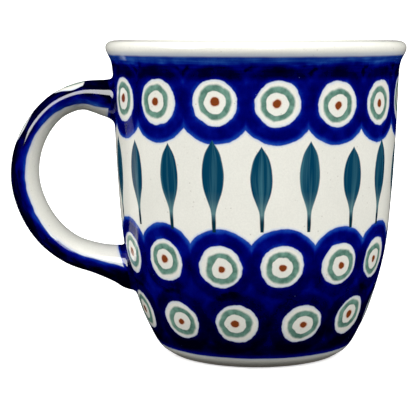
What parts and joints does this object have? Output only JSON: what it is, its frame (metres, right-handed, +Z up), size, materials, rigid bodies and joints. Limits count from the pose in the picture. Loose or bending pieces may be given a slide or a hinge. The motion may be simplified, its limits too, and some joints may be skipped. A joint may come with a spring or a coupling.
{
  "type": "stoneware mug",
  "caption": "Tapered stoneware mug with a rolled lip, a turned foot ring and a strap handle luted to the wall, for hot or cold drinks.",
  "frame": {"origin": "on the standing plane, in the middle of the mug's length and width; the cup's own axis is 14.4 mm to +X of it", "axes": "+Z up along the cup's axis, the handle reaches out to -X, +Y is across the handle"},
  "size_m": [0.1194, 0.0904, 0.095],
  "materials": {
    "glazed_stoneware": "high-gloss clear glaze over white ground and cobalt underglaze painting",
    "cobalt_glazed_stoneware": "high-gloss clear glaze over cobalt underglaze",
    "fired_slip": "glazed over"
  },
  "bodies": {
    "root": {"cup_body": "glazed_stoneware", "handle": "cobalt_glazed_stoneware", "upper_luting_slip": "fired_slip", "lower_luting_slip": "fired_slip"}
  },
  "joints": []
}
